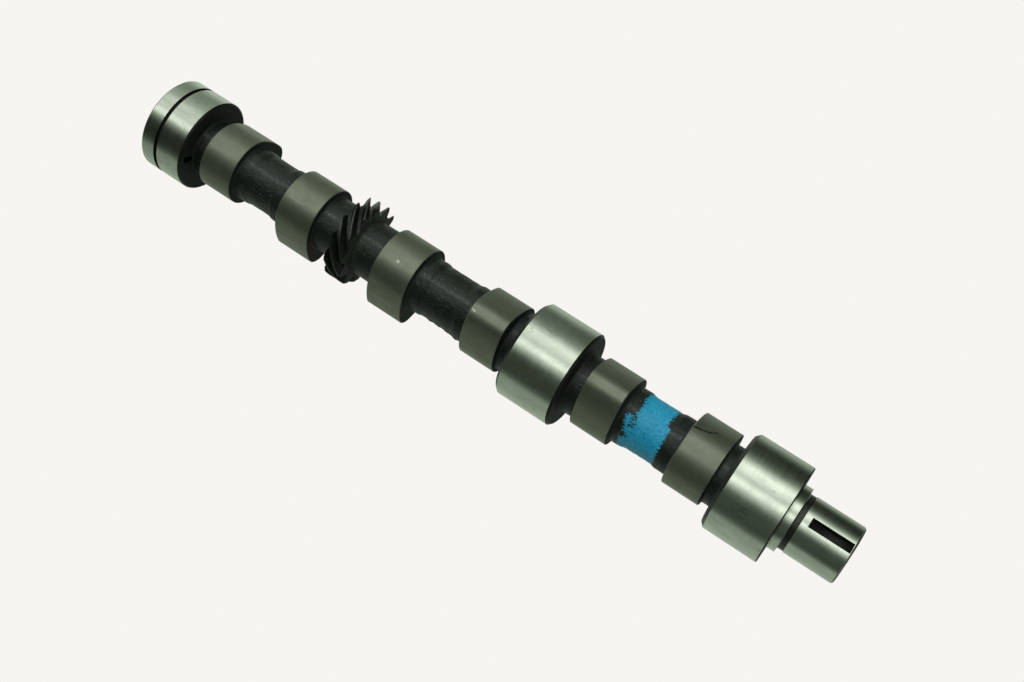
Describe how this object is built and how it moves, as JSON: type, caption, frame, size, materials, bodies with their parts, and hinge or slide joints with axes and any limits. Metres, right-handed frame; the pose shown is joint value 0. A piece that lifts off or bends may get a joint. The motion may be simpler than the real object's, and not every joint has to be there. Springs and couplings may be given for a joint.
{
  "type": "engine camshaft",
  "caption": "One-piece cast engine camshaft with ground bearing journals, cams, a skew drive gear and a keyed nose for the timing gear.",
  "frame": {"origin": "centre of the flat rear end face, on the shaft's axis, on which the shaft stands", "axes": "+Z along the shaft's axis from the rear end to the nose; the key seat faces -Y"},
  "size_m": [0.0514, 0.0514, 0.4105],
  "materials": {
    "camshaft": "dark cast skin, satin cams, bright ground journals and nose"
  },
  "bodies": {
    "root": {"camshaft": "camshaft"}
  },
  "joints": []
}
